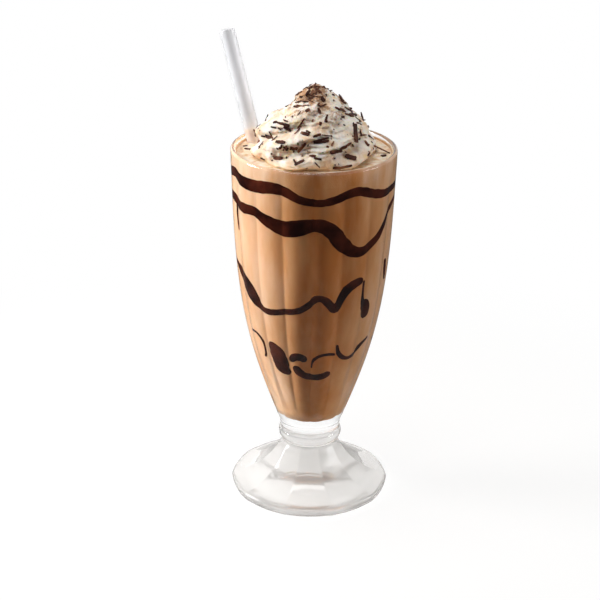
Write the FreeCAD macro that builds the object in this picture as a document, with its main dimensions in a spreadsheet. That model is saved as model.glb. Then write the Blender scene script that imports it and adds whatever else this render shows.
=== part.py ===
"""Coffee milkshake in a footed soda glass, with whipped cream and a glass straw.

Frame: the origin is the middle of the foot, on the surface that the glass stands on, and +Z is up.
Lengths are in millimetres. The glass is pressed in one piece: a fluted bowl, a solid stem with a
ring, and a flared, faceted foot. The milkshake and its froth fill the bowl round the straw, and the
cream is piped on the froth.
"""
import FreeCAD, Part
import Sketcher
import math
import os

SIZES = {
    # The glass as a whole
    "glass_height": 195.7,
    "rim_radius": 43.2,
    "rim_wall": 2.4,
    "rim_band": 8.0,
    # The bowl, from the top of the stem up to the rim
    "bowl_base_height": 44.0,
    "bowl_base_radius": 18.4,
    "bowl_fullness": 2.2,
    "bowl_panels": 16,
    "bowl_relief": 0.9,
    # The room inside the bowl
    "floor_height": 43.8,
    "floor_radius": 5.5,
    "floor_rounding": 7.0,
    "low_wall": 8.0,
    "inside_relief": 1.1,
    # The stem and its ring
    "neck_radius": 16.3,
    "neck_height": 38.0,
    "ring_radius": 17.1,
    "ring_height": 31.6,
    "ring_depth": 6.4,
    "waist_radius": 14.6,
    # The foot
    "foot_radius": 43.0,
    "foot_height": 28.0,
    "foot_edge": 4.4,
    "foot_flare": 2.1,
    "foot_panels": 10,
    "foot_flat": 1.0,
    "recess_radius": 33.0,
    "recess_height": 7.0,
    # The milkshake and its froth, measured down from the rim
    "shake_drop": 8.2,
    "froth_drop": 3.2,
    "meniscus": 1.2,
    "shore_width": 3.2,
    # The straw
    "straw_diameter": 8.0,
    "straw_bore": 6.2,
    "straw_length": 214.0,
    "straw_heading": 151.0,
    "straw_gap": 0.2,
    "straw_column": 7.0,
    # The whipped cream
    "cream_margin": 7.2,
    "cream_height": 37.0,
    "cream_tip_radius": 1.4,
    "cream_lean": 0.5,
    "cream_turns": 3.4,
    "cream_groove": 2.6,
    "cream_ridges": 6,
    "cream_ridge_depth": 1.7,
    "cream_twist": 190.0,
}

PANEL_STATIONS = (0.0, 0.06, 0.13, 0.22, 0.33, 0.46, 0.6, 0.74, 0.86, 0.94, 1.0)
FOOT_STATIONS = (0.0, 0.12, 0.28, 0.5, 0.75, 1.0)
EDGE_ROUNDING = ((1.0, 0.0), (0.6, -0.2), (0.2, 0.15), (0.0, 1.2))
CREAM_LAYERS = 22
CREAM_POINTS = 36
CREAM_TOP = 0.985
# Where the cream slumped: degrees to the right of the front, height above the froth, spread in
# degrees, spread in height, and how far the cream stands out there.
CREAM_LOBES = (
    (-88.0, 16.5, 32.0, 2.2, 3.4),
    (-88.0, 23.0, 30.0, 2.4, -3.4),
    (88.0, 30.0, 32.0, 3.2, 1.6),
)

doc = FreeCAD.newDocument("milkshake")
sheet = doc.addObject("Spreadsheet::Sheet", "sizes")
for row, (alias, value) in enumerate(SIZES.items(), start=1):
    sheet.set(f"A{row}", alias)
    sheet.set(f"B{row}", str(value))
    sheet.setAlias(f"B{row}", alias)
doc.recompute()


def size(alias):
    """A driving dimension, as the sheet holds it."""
    return float(sheet.get(alias))


Z_AXIS = FreeCAD.Vector(0, 0, 1)
lip_radius = size("rim_wall") / 2
lip_height = size("glass_height") - lip_radius
band_height = size("glass_height") - size("rim_band")
inside_height = size("floor_height") + size("floor_rounding")
froth_level = size("glass_height") - size("froth_drop")
shake_level = size("glass_height") - size("shake_drop")


# ---------------------------------------------------------------- shape of the glass

def bowl_share(height):
    """How far up the bowl a height is, from 0 at the stem to 1 at the lip."""
    return (height - size("bowl_base_height")) / (lip_height - size("bowl_base_height"))


def bowl_radius(height):
    """Outside radius of the bowl, which swells quickly from the stem and then runs nearly straight."""
    fullness = size("bowl_fullness")
    swell = math.tanh(fullness * bowl_share(height)) / math.tanh(fullness)
    return size("bowl_base_radius") + (size("rim_radius") - size("bowl_base_radius")) * swell


def inside_radius(height):
    """Radius of the room in the bowl: the wall is thickest at the stem and thins towards the rim."""
    thinning = (1 - bowl_share(height)) ** 2
    wall = size("rim_wall") + (size("low_wall") - size("rim_wall")) * thinning
    return bowl_radius(height) - wall


def panel_fade(share):
    """Strength of the panels along the bowl: none at either end, full in the middle."""
    return math.tanh(8 * share) * math.tanh(12 * (1 - share))


def foot_surface(share):
    """Radius and height of the foot's top, from 0 at the waist to 1 at the edge."""
    flare = size("foot_flare")
    radius = size("waist_radius") + (size("foot_radius") - size("waist_radius")) * share
    drop = (math.exp(-flare * share) - math.exp(-flare)) / (1 - math.exp(-flare))
    height = size("foot_edge") + (size("foot_height") - size("foot_edge")) * drop
    return radius, height


# ---------------------------------------------------------------- sketches and features

def origin_plane(body, role):
    """One of a body's own origin planes."""
    return next(plane for plane in body.Origin.OriginFeatures if plane.Role == role)


def level_sketch(body, name, height):
    """A horizontal sketch of a body at a height above its origin."""
    sketch = body.newObject("Sketcher::SketchObject", name)
    sketch.AttachmentSupport = [(origin_plane(body, "XY_Plane"), "")]
    sketch.MapMode = "FlatFace"
    sketch.AttachmentOffset = FreeCAD.Placement(FreeCAD.Vector(0, 0, height), FreeCAD.Rotation())
    return sketch


def panel_section(body, name, height, corner_radius, middle_radius, panels, turn):
    """A closed ring of arcs, one for each panel, between corners that are spread round the axis."""
    sketch = level_sketch(body, name, height)
    step = 2 * math.pi / panels

    def point(radius, angle):
        return FreeCAD.Vector(radius * math.cos(angle), radius * math.sin(angle), 0)

    for panel in range(int(panels)):
        start = math.radians(turn) + panel * step
        arc = Part.Arc(
            point(corner_radius, start),
            point(middle_radius, start + step / 2),
            point(corner_radius, start + step),
        )
        sketch.addGeometry(arc, False)
    return sketch


def loft(body, name, sections):
    """A smooth solid through a body's sections."""
    feature = body.newObject("PartDesign::AdditiveLoft", name)
    feature.Profile = sections[0]
    feature.Sections = sections[1:]
    return feature


def profile_sketch(body, name, edges):
    """An upright sketch of half a turned shape: x is the radius and y is the height."""
    sketch = body.newObject("Sketcher::SketchObject", name)
    sketch.AttachmentSupport = [(origin_plane(body, "XZ_Plane"), "")]
    sketch.MapMode = "FlatFace"
    for edge in edges:
        sketch.addGeometry(edge, False)
    return sketch


def at(radius, height):
    return FreeCAD.Vector(radius, height, 0)


def line(start, end):
    return Part.LineSegment(at(*start), at(*end))


def arc(start, middle, end):
    return Part.Arc(at(*start), at(*middle), at(*end))


def upturn(start, width, rise):
    """Middle and end points of an arc that leaves its start level and turns up."""
    radius = (width ** 2 + rise ** 2) / (2 * rise)
    half_turn = math.asin(width / radius) / 2
    middle = (start[0] + radius * math.sin(half_turn), start[1] + radius * (1 - math.cos(half_turn)))
    return middle, (start[0] + width, start[1] + rise)


def polyline(*points):
    """The straight edges that join points in order."""
    return [line(start, end) for start, end in zip(points, points[1:])]


def turned(body, kind, name, edges):
    """A full turn of a profile about the upright axis: a Revolution adds and a Groove cuts."""
    sketch = profile_sketch(body, name + "_profile", edges)
    feature = body.newObject("PartDesign::" + kind, name)
    feature.Profile = sketch
    feature.ReferenceAxis = (sketch, ["V_Axis"])
    feature.Angle = 360
    return feature


def boolean(kind, name, base, tool):
    """A cut, fuse or common of two shapes."""
    feature = doc.addObject("Part::" + kind, name)
    if kind == "Cut":
        feature.Base = base
        feature.Tool = tool
    else:
        feature.Shapes = [base, tool]
    return feature


# ---------------------------------------------------------------- the glass

blank = doc.addObject("PartDesign::Body", "glass_blank")

# The stem: the ring, the neck above it and the start of the bowl, turned solid.
ring_low = size("ring_height") - size("ring_depth") / 2
ring_high = size("ring_height") + size("ring_depth") / 2
turned(blank, "Revolution", "stem", [
    line((0, size("foot_height")), (size("waist_radius"), size("foot_height"))),
    arc(
        (size("waist_radius"), size("foot_height")),
        (size("ring_radius"), size("ring_height")),
        (size("neck_radius"), ring_high),
    ),
    arc(
        (size("neck_radius"), ring_high),
        (size("neck_radius") + 0.1, size("neck_height")),
        (size("bowl_base_radius"), size("bowl_base_height")),
    ),
    line((size("bowl_base_radius"), size("bowl_base_height")), (0, size("bowl_base_height"))),
    line((0, size("bowl_base_height")), (0, size("foot_height"))),
])

# The bowl: rounded upright panels that die out at the stem and below the rim band.
bowl_sections = []
for number, station in enumerate(PANEL_STATIONS):
    height = size("bowl_base_height") + station * (band_height - size("bowl_base_height"))
    crest = bowl_radius(height)
    valley = crest - size("bowl_relief") * panel_fade(station)
    section = panel_section(blank, f"bowl_section_{number}", height, valley, crest, size("bowl_panels"), 90)
    section.setExpression(
        "AttachmentOffset.Base.z",
        f"sizes.bowl_base_height * {1 - station} + (sizes.glass_height - sizes.rim_band) * {station}",
    )
    bowl_sections.append(section)
loft(blank, "bowl", bowl_sections)

# The plain band under the rim, and the rounded lip.
turned(blank, "Revolution", "band", polyline(
    (0, band_height),
    (bowl_radius(band_height), band_height),
    (size("rim_radius"), lip_height),
    (0, lip_height),
    (0, band_height),
))
lip_inside = size("rim_radius") - size("rim_wall")
turned(blank, "Revolution", "lip", [
    line((lip_inside, lip_height), (size("rim_radius"), lip_height)),
    arc(
        (size("rim_radius"), lip_height),
        (size("rim_radius") - lip_radius, size("glass_height")),
        (lip_inside, lip_height),
    ),
])

# The foot: nearly flat facets that flare down from the waist, and a rounded edge below them.
def foot_section(name, radius, height, flat):
    """A ring of foot facets with one facet facing -Y."""
    panels = size("foot_panels")
    return panel_section(blank, name, height, radius, radius - flat, panels, 90 - 180 / panels)


def facet_flat(share):
    """How far the middle of a facet lies inside its corners: least at the waist and the edge."""
    return size("foot_flat") * (0.35 + 0.65 * math.sin(math.pi * share) + 0.25 * share)


foot_sections = []
for number, station in enumerate(reversed(FOOT_STATIONS)):
    radius, height = foot_surface(station)
    foot_sections.append(foot_section(f"foot_section_{number}", radius, height, facet_flat(station)))
loft(blank, "foot", foot_sections)

edge_sections = []
for number, (height_share, inset) in enumerate(EDGE_ROUNDING):
    radius = size("foot_radius") - inset
    height = size("foot_edge") * height_share
    edge_sections.append(foot_section(f"edge_section_{number}", radius, height, facet_flat(1.0)))
loft(blank, "foot_edge", edge_sections)

# The hollow under the foot.
recess_middle = 0.6 * size("recess_radius")
turned(blank, "Groove", "foot_recess", [
    line((0, 0), (0, size("recess_height"))),
    arc(
        (0, size("recess_height")),
        (recess_middle, 0.75 * size("recess_height")),
        (size("recess_radius"), 0),
    ),
    line((size("recess_radius"), 0), (0, 0)),
])

# The room in the bowl: a cup-shaped floor, and panels that follow the outside.
room = doc.addObject("PartDesign::Body", "room")
cup_start = (size("floor_radius"), size("floor_height"))
cup_width = inside_radius(inside_height) - size("floor_radius")
cup_middle, cup_end = upturn(cup_start, cup_width, size("floor_rounding"))
turned(room, "Revolution", "cup", [
    line((0, inside_height), (0, size("floor_height"))),
    line((0, size("floor_height")), cup_start),
    arc(cup_start, cup_middle, cup_end),
    line(cup_end, (0, inside_height)),
])
room_sections = []
for number, station in enumerate(PANEL_STATIONS):
    height = inside_height + station * (lip_height - inside_height)
    crest = inside_radius(height)
    valley = crest - size("inside_relief") * panel_fade(station)
    name = f"room_section_{number}"
    room_sections.append(panel_section(room, name, height, valley, crest, size("bowl_panels"), 90))
loft(room, "room_walls", room_sections)

glass = boolean("Cut", "glass", blank, room)

# ---------------------------------------------------------------- the straw

straw_radius = size("straw_diameter") / 2


def straw_seat():
    """Reach, height and lean of a straw that sits in the cup and leans on the inside of the lip.

    Both sides of its lower end touch the cup, one on the floor and one on the rounding.
    """
    gap = size("straw_gap")
    cup_radius = (cup_width ** 2 + size("floor_rounding") ** 2) / (2 * size("floor_rounding"))
    lean = math.radians(15)
    for _ in range(30):
        height = size("floor_height") + gap + straw_radius * math.sin(lean)
        rise = height + straw_radius * math.sin(lean) - size("floor_height")
        wall = size("floor_radius") + math.sqrt(max(0.0, 2 * cup_radius * rise - rise ** 2))
        reach = wall - gap - straw_radius * math.cos(lean)
        across = size("rim_radius") - lip_radius + reach
        up = lip_height - height
        clear = straw_radius + lip_radius + gap
        lean = math.atan2(across, up) - math.asin(clear / math.hypot(across, up))
    return reach, height, lean


straw_reach, straw_height, straw_lean = straw_seat()
heading = math.radians(size("straw_heading"))
straw_axis = FreeCAD.Vector(
    math.sin(straw_lean) * math.cos(heading),
    math.sin(straw_lean) * math.sin(heading),
    math.cos(straw_lean),
)
straw_placement = FreeCAD.Placement(
    FreeCAD.Vector(-straw_reach * math.cos(heading), -straw_reach * math.sin(heading), straw_height),
    FreeCAD.Rotation(Z_AXIS, straw_axis),
)

straw = doc.addObject("PartDesign::Body", "straw")
ring_sketch = level_sketch(straw, "straw_ring", 0)
for number, (name, bore) in enumerate((("outside", "straw_diameter"), ("inside", "straw_bore"))):
    circle = Part.Circle(FreeCAD.Vector(0, 0, 0), Z_AXIS, size(bore) / 2)
    ring_sketch.addGeometry(circle, False)
    ring_sketch.addConstraint(Sketcher.Constraint("Coincident", number, 3, -1, 1))
    index = ring_sketch.addConstraint(Sketcher.Constraint("Radius", number, size(bore) / 2))
    ring_sketch.renameConstraint(index, name)
    ring_sketch.setExpression("Constraints." + name, f"sizes.{bore} / 2")
tube = straw.newObject("PartDesign::Pad", "straw_tube")
tube.Profile = ring_sketch
tube.setExpression("Length", "sizes.straw_length")
straw.Placement = straw_placement


def straw_cylinder(name, diameter, length):
    """A solid cylinder on the straw's axis, from its lower end."""
    cylinder = doc.addObject("Part::Cylinder", name)
    cylinder.setExpression("Radius", f"sizes.{diameter} / 2")
    cylinder.Height = length
    cylinder.Placement = straw_placement
    return cylinder


straw_core = straw_cylinder("straw_core", "straw_diameter", size("straw_length"))
column_height = froth_level + size("straw_column") - straw_height
column = straw_cylinder("straw_column", "straw_bore", column_height / math.cos(straw_lean))

# ---------------------------------------------------------------- the milkshake and its froth

shake_block = doc.addObject("Part::Cylinder", "shake_block")
shake_block.setExpression("Radius", "sizes.rim_radius")
shake_block.setExpression("Height", "sizes.glass_height - sizes.shake_drop")
shake_mass = boolean("MultiCommon", "shake_mass", room, shake_block)
shake_round_straw = boolean("Cut", "shake_round_straw", shake_mass, straw)
milkshake = boolean("MultiFuse", "milkshake", shake_round_straw, column)

# Froth lies level and climbs a little where it meets the glass.
froth_form = doc.addObject("PartDesign::Body", "froth_form")
shore = (inside_radius(froth_level) - size("shore_width"), froth_level)
shore_middle, shore_end = upturn(shore, size("shore_width") + size("rim_wall") / 4, size("meniscus"))
turned(froth_form, "Revolution", "froth_turned", [
    line((0, froth_level), (0, shake_level)),
    line((0, shake_level), (shore_end[0], shake_level)),
    line((shore_end[0], shake_level), shore_end),
    arc(shore, shore_middle, shore_end),
    line(shore, (0, froth_level)),
])
froth_mass = boolean("MultiCommon", "froth_mass", room, froth_form)
froth = boolean("Cut", "froth", froth_mass, straw_core)

# ---------------------------------------------------------------- the whipped cream

cream_width = inside_radius(froth_level) - size("cream_margin")


def cream_radius(angle, share):
    """Radius of the piped cream at an angle and at a share of its height.

    Ridges from the star nozzle wind up the mound, and a groove marks each turn of the piped coil.
    """
    body = 1 - share ** 1.65
    tuck = 1 - 0.07 * math.exp(-14 * share)
    mound = size("cream_tip_radius") + (cream_width - size("cream_tip_radius")) * body * tuck
    scale = mound / cream_width
    winding = angle - math.radians(size("cream_twist")) * share
    ridge = size("cream_ridge_depth") * math.cos(size("cream_ridges") * winding) * scale
    turn = size("cream_turns") * share - angle / (2 * math.pi)
    groove = size("cream_groove") * (1 - abs(math.sin(math.pi * turn))) * math.sqrt(scale)
    slump = 0.0
    for direction, height, spread, rise, amount in CREAM_LOBES:
        aside = math.remainder(math.degrees(angle) + 90 - direction, 360) / spread
        above = (share * size("cream_height") - height) / rise
        slump += amount * math.exp(-0.5 * (aside ** 2 + above ** 2))
    return mound + ridge - groove + slump


cream_rings = []
ring_steps = list(range(CREAM_POINTS + 1))
for layer in range(CREAM_LAYERS + 1):
    share = math.sin(math.pi / 2 * layer / CREAM_LAYERS) * CREAM_TOP
    middle = size("cream_lean") * share
    ring_points = []
    for step in range(CREAM_POINTS):
        angle = 2 * math.pi * step / CREAM_POINTS
        radius = cream_radius(angle, share)
        ring_points.append(FreeCAD.Vector(
            middle + radius * math.cos(angle),
            radius * math.sin(angle),
            share * size("cream_height"),
        ))
    curve = Part.BSplineCurve()
    curve.interpolate(Points=ring_points, PeriodicFlag=True, Parameters=ring_steps)
    cream_rings.append(Part.Wire(curve.toShape()))
cream_form = doc.addObject("Part::Feature", "cream_form")
cream_form.Shape = Part.makeLoft(cream_rings, True)
cream_form.Placement.Base = FreeCAD.Vector(0, 0, froth_level)
whipped_cream = boolean("Cut", "whipped_cream", cream_form, straw_core)

# ---------------------------------------------------------------- check and write

doc.recompute()
for item in doc.Objects:
    if "Invalid" in item.State or "Error" in item.State:
        raise RuntimeError(f"{item.Label} did not build: {item.State}")

SUBPARTS = {
    "glass": glass,
    "milkshake": milkshake,
    "froth": froth,
    "whipped_cream": whipped_cream,
    "straw": straw,
}
os.makedirs("parts", exist_ok=True)
for node, item in SUBPARTS.items():
    item.Label = node
    shape = item.Shape
    if shape.isNull() or not shape.isValid() or len(shape.Solids) != 1:
        raise RuntimeError(f"{node} is not one sound solid")
    box = shape.optimalBoundingBox()
    print(f"{node}: {shape.Volume / 1000:.2f} cm3, {box}")

for node, item in SUBPARTS.items():
    item.Shape.exportStep(f"parts/{node}.step")
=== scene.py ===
import bpy
import math
import random
from mathutils import Matrix, Vector, noise
from mathutils.bvhtree import BVHTree


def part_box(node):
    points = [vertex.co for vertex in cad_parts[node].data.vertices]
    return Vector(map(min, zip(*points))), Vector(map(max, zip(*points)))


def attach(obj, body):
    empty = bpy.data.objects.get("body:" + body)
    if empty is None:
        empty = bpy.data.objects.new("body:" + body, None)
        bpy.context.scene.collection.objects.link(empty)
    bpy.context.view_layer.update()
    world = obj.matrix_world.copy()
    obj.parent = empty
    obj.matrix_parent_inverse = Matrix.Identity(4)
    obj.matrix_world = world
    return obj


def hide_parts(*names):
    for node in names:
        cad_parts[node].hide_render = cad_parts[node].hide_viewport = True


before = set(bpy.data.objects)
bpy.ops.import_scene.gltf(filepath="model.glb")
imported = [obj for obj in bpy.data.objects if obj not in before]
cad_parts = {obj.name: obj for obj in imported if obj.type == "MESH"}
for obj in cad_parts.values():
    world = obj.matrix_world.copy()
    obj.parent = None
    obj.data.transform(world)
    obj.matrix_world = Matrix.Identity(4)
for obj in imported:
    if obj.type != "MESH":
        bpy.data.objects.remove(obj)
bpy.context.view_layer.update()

# ---------------------------------------------------------------- the glass
# A soda glass pressed in one piece from clear glass: a fluted bowl, a solid stem with a ring and a
# hollow, faceted foot. It stands on the flat rim of the foot. Lengths of the pieces are millimetres
# and scaled to metres as a mesh is made, and the table, the lamps and the camera are in metres.
MM = 0.001
FRONT = math.radians(-90)


def box_mm(node):
    """Lowest and highest corners of a CAD node in millimetres."""
    low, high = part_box(node)
    return low / MM, high / MM


glass_high = box_mm("glass")[1]
GLASS_HEIGHT = glass_high.z
RIM_RADIUS = glass_high.y
RIM_WALL = 2.4
RIM_BAND = 8.0
LIP_RADIUS = RIM_WALL / 2
LIP_HEIGHT = GLASS_HEIGHT - LIP_RADIUS
BAND_HEIGHT = GLASS_HEIGHT - RIM_BAND
BOWL_BASE_HEIGHT = 44.0
BOWL_BASE_RADIUS = 18.4
BOWL_FULLNESS = 2.2
BOWL_PANELS = 16
BOWL_RELIEF = 0.9
INSIDE_RELIEF = 1.1
LOW_WALL = 8.0
FLOOR_RADIUS = 5.5
FLOOR_ROUNDING = 7.0
FLOOR_HEIGHT = box_mm("milkshake")[0].z
INSIDE_HEIGHT = FLOOR_HEIGHT + FLOOR_ROUNDING
FOOT_RADIUS = 43.0
FOOT_HEIGHT = 28.0
FOOT_EDGE = 4.4
FOOT_FLARE = 2.1
FOOT_PANELS = 10
FOOT_FLAT = 1.0
WAIST_RADIUS = 14.6
RECESS_RADIUS = 33.0
RECESS_HEIGHT = 7.0
RECESS_CURVE = 2.2
GLASS_STEPS = 240
# The flat under the foot as (radius, height), and the rounding of its edge as (inset from the
# foot's radius, share of the edge's height).
FOOT_UNDERSIDE = ((32.6, 0.1), (33.2, 0.0), (36.0, 0.0), (39.0, 0.0), (41.4, 0.0))
FOOT_ROUNDING = (
    (0.95, 0.04), (0.45, 0.14), (0.1, 0.34), (-0.12, 0.58), (-0.08, 0.78), (0.2, 0.93), (0.75, 1.03),
)
# The ring of the stem and the neck above it, as arcs through three places of (radius, height).
STEM_RING = ((14.6, 28.0), (17.1, 31.6), (16.3, 34.8))
STEM_NECK = ((16.3, 34.8), (16.4, 38.0), (18.4, 44.0))


def bowl_share(height):
    return (height - BOWL_BASE_HEIGHT) / (LIP_HEIGHT - BOWL_BASE_HEIGHT)


def bowl_radius(height):
    """Outside of the bowl, which swells quickly from the stem and then runs nearly straight."""
    swell = math.tanh(BOWL_FULLNESS * bowl_share(height)) / math.tanh(BOWL_FULLNESS)
    return BOWL_BASE_RADIUS + (RIM_RADIUS - BOWL_BASE_RADIUS) * swell


def wall_radius(height):
    """Inside of the bowl at the crest of a panel: the wall thins from the stem to the rim."""
    thinning = (1 - bowl_share(height)) ** 2
    return bowl_radius(height) - RIM_WALL - (LOW_WALL - RIM_WALL) * thinning


def panel_fade(height, low, high):
    """Strength of the panels between two heights: none at either end, full in the middle. They
    come in more slowly at the low end than at the high one."""
    share = min(1.0, max(0.0, (height - low) / (high - low)))
    return math.tanh(8 * share) * math.tanh(12 * (1 - share))


def across_panel(angle, panels):
    """Place across a panel, from -1 at one edge through 0 to 1 at the other. An edge faces front."""
    return ((angle - FRONT) * panels / (2 * math.pi)) % 1.0 * 2 - 1


def inside_at(angle, height):
    """Inside of the bowl at an angle: each panel bulges outwards between two creases."""
    if height < INSIDE_HEIGHT:
        width = wall_radius(INSIDE_HEIGHT) - FLOOR_RADIUS
        curve = (width ** 2 + FLOOR_ROUNDING ** 2) / (2 * FLOOR_ROUNDING)
        rise = max(0.0, height - FLOOR_HEIGHT)
        return FLOOR_RADIUS + math.sqrt(max(0.0, curve ** 2 - (curve - rise) ** 2))
    dip = INSIDE_RELIEF * panel_fade(height, INSIDE_HEIGHT, LIP_HEIGHT)
    return wall_radius(height) - dip * across_panel(angle, BOWL_PANELS) ** 2


def foot_surface(share):
    """Radius and height of the foot's top, from 0 at the waist to 1 at the edge."""
    radius = WAIST_RADIUS + (FOOT_RADIUS - WAIST_RADIUS) * share
    drop = (math.exp(-FOOT_FLARE * share) - math.exp(-FOOT_FLARE)) / (1 - math.exp(-FOOT_FLARE))
    return radius, FOOT_EDGE + (FOOT_HEIGHT - FOOT_EDGE) * drop


def facet_depth(share):
    """How deep the foot's facets cut: most half way down, half of that at the edge, least at the
    waist."""
    depth = 0.35 + 0.75 * math.sin(math.pi * share) + 0.25 * share
    return FOOT_FLAT * depth * min(1.0, 12 * share + 0.2)


def circle_through(start, middle, end, count):
    """Points of a circular arc through three points of a profile, without its first point."""
    (ax, ay), (bx, by), (cx, cy) = start, middle, end
    a, b, c = ax**2 + ay**2, bx**2 + by**2, cx**2 + cy**2
    twice = 2 * (ax * (by - cy) + bx * (cy - ay) + cx * (ay - by))
    ux = (a * (by - cy) + b * (cy - ay) + c * (ay - by)) / twice
    uy = (a * (cx - bx) + b * (ax - cx) + c * (bx - ax)) / twice
    radius = math.hypot(ax - ux, ay - uy)
    first = math.atan2(ay - uy, ax - ux)
    half = math.remainder(math.atan2(by - uy, bx - ux) - first, 2 * math.pi)
    sweep = half + math.remainder(math.atan2(cy - uy, cx - ux) - first - half, 2 * math.pi)
    turns = [first + sweep * step / count for step in range(1, count + 1)]
    return [(ux + radius * math.cos(turn), uy + radius * math.sin(turn)) for turn in turns]


def even_steps(first, last, count):
    """Values from the first to the last in even steps, without the first."""
    return [first + (last - first) * step / count for step in range(1, count + 1)]


def once_round(steps):
    """Even angles once round the axis."""
    return [2 * math.pi * step / steps for step in range(steps)]


def facing(degrees):
    """The angle of a place given in degrees to the right of the front."""
    return FRONT + math.radians(degrees)


def polar(angle, radius, height):
    """The point at an angle round the axis, a distance from it and a height."""
    return Vector((radius * math.cos(angle), radius * math.sin(angle), height))


def ring(radius, height, steps=GLASS_STEPS):
    """A level ring of points round the axis. The radius is a number or a function of the angle."""
    radius_at = radius if callable(radius) else lambda angle: radius
    return [polar(angle, radius_at(angle), height) for angle in once_round(steps)]


def skin(rings, first_cap=None, last_cap=None):
    """Vertices and faces of a skin through rings of equal count, closed by a point at each end."""
    steps = len(rings[0])
    last_row = (len(rings) - 1) * steps
    sides = [(step, (step + 1) % steps) for step in range(steps)]
    vertices = [point for points in rings for point in points]
    faces = []
    for row in range(0, last_row, steps):
        faces += [(row + a, row + b, row + steps + b, row + steps + a) for a, b in sides]
    if first_cap is not None:
        faces += [(len(vertices), b, a) for a, b in sides]
        vertices.append(first_cap)
    if last_cap is not None:
        faces += [(len(vertices), last_row + a, last_row + b) for a, b in sides]
        vertices.append(last_cap)
    return vertices, faces


def piece(name, vertices, faces, material, slot, *nodes):
    """A smooth mesh piece in metres, which rides on the part and stands for the CAD nodes named."""
    mesh = bpy.data.meshes.new(name)
    mesh.from_pydata([point * MM for point in vertices], [], faces)
    mesh.validate()
    mesh.polygons.foreach_set("use_smooth", [True] * len(mesh.polygons))
    mesh.materials.append(material)
    made = bpy.data.objects.new(name, mesh)
    bpy.context.scene.collection.objects.link(made)
    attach(made, "root")
    if nodes:
        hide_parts(*nodes)
    return made


def foot_ring(radius, height, flat):
    """A ring of the foot, with its facets cut in by a depth."""
    half_panel = math.pi / FOOT_PANELS
    return ring(lambda a: radius - flat * (1 - across_panel(a + half_panel, FOOT_PANELS) ** 2), height)


def bowl_ring(height):
    """A ring of the bowl's outside, with its panels."""
    dip = BOWL_RELIEF * panel_fade(height, BOWL_BASE_HEIGHT, BAND_HEIGHT)
    return ring(lambda a: bowl_radius(height) - dip * across_panel(a, BOWL_PANELS) ** 2, height)


def inside_ring(height, into_wall=0.0):
    """A ring of the bowl's inside, or of what fills it and reaches into the wall."""
    return ring(lambda a: inside_at(a, height) + into_wall, height)


# The glass's whole skin, from under the foot, over the lip, and down to the cup's floor.
glass_rings = []
for share in even_steps(0, 1, 12)[:-1]:
    glass_rings.append(ring(RECESS_RADIUS * share, RECESS_HEIGHT * (1 - share ** RECESS_CURVE)))
glass_rings += [ring(radius, height) for radius, height in FOOT_UNDERSIDE]
for inset, share in FOOT_ROUNDING:
    glass_rings.append(foot_ring(FOOT_RADIUS - inset, FOOT_EDGE * share, 0.6 * FOOT_FLAT))
for share in reversed([0.0] + even_steps(0, 0.955, 28)):
    glass_rings.append(foot_ring(*foot_surface(share), facet_depth(share)))
for radius, height in circle_through(*STEM_RING, 12) + circle_through(*STEM_NECK, 10):
    glass_rings.append(ring(radius, height))
glass_rings += [bowl_ring(height) for height in even_steps(BOWL_BASE_HEIGHT, BAND_HEIGHT, 80)]
for height in even_steps(BAND_HEIGHT, LIP_HEIGHT, 6)[:-1]:
    glass_rings.append(ring(bowl_radius(height), height))
for turn in [0.0] + even_steps(0, math.pi, 12):
    lip = RIM_RADIUS - LIP_RADIUS + LIP_RADIUS * math.cos(turn)
    glass_rings.append(ring(lip, LIP_HEIGHT + LIP_RADIUS * math.sin(turn)))
glass_rings += [inside_ring(height) for height in even_steps(LIP_HEIGHT, INSIDE_HEIGHT, 70)]
for share in even_steps(1, 0, 12)[:-1]:
    height = FLOOR_HEIGHT + FLOOR_ROUNDING * share ** 2
    glass_rings.append(ring(inside_at(0, height), height))
glass_rings += [ring(FLOOR_RADIUS * share, FLOOR_HEIGHT) for share in (0.8, 0.4)]


def plug(socket, value):
    """Gives an input a plain value, or links it to the output of a node."""
    if isinstance(value, bpy.types.NodeSocket):
        socket.id_data.links.new(value, socket)
    else:
        socket.default_value = value


def feed(node, **values):
    """Plugs a node's inputs by name, with _ for a space in the name."""
    for name, value in values.items():
        plug(node.inputs[name.replace("_", " ")], value)


def new_material(name):
    """A material with its tree and its surface shader."""
    material = bpy.data.materials.new(name)
    material.use_nodes = True
    return material, material.node_tree, material.node_tree.nodes["Principled BSDF"]


def new_group(name, numbers, results):
    """A new node group, the numbers it is given, and the node that takes its results."""
    group = bpy.data.node_groups.new(name, "ShaderNodeTree")
    for number in numbers:
        group.interface.new_socket(name=number, in_out="INPUT", socket_type="NodeSocketFloat")
    for result, kind in results.items():
        group.interface.new_socket(name=result, in_out="OUTPUT", socket_type=kind)
    return group, group.nodes.new("NodeGroupInput").outputs, group.nodes.new("NodeGroupOutput")


def placed(tree, group, **values):
    """Places a node group in a material, with that material's own values."""
    node = tree.nodes.new("ShaderNodeGroup")
    node.node_tree = group
    feed(node, **values)
    return node.outputs


def coordinate(tree, kind="Object"):
    """Each place on the piece in metres, or with "Normal" the way its surface faces."""
    return tree.nodes.new("ShaderNodeTexCoord").outputs[kind]


def mottle(tree, scale, detail=3.0, roughness=0.5, place=None):
    """Soft patches over the piece's own place, so many to a metre."""
    node = tree.nodes.new("ShaderNodeTexNoise")
    feed(node, Vector=place or coordinate(tree), Scale=scale, Detail=detail, Roughness=roughness)
    return node.outputs["Fac"]


def levels(tree, value, low, high, at_low=0.0, at_high=1.0, curve="LINEAR"):
    """Maps a value between two levels to a value between two others, and stops at both."""
    node = tree.nodes.new("ShaderNodeMapRange")
    node.interpolation_type = curve
    feed(node, Value=value, From_Min=low, From_Max=high, To_Min=at_low, To_Max=at_high)
    return node.outputs["Result"]


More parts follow.
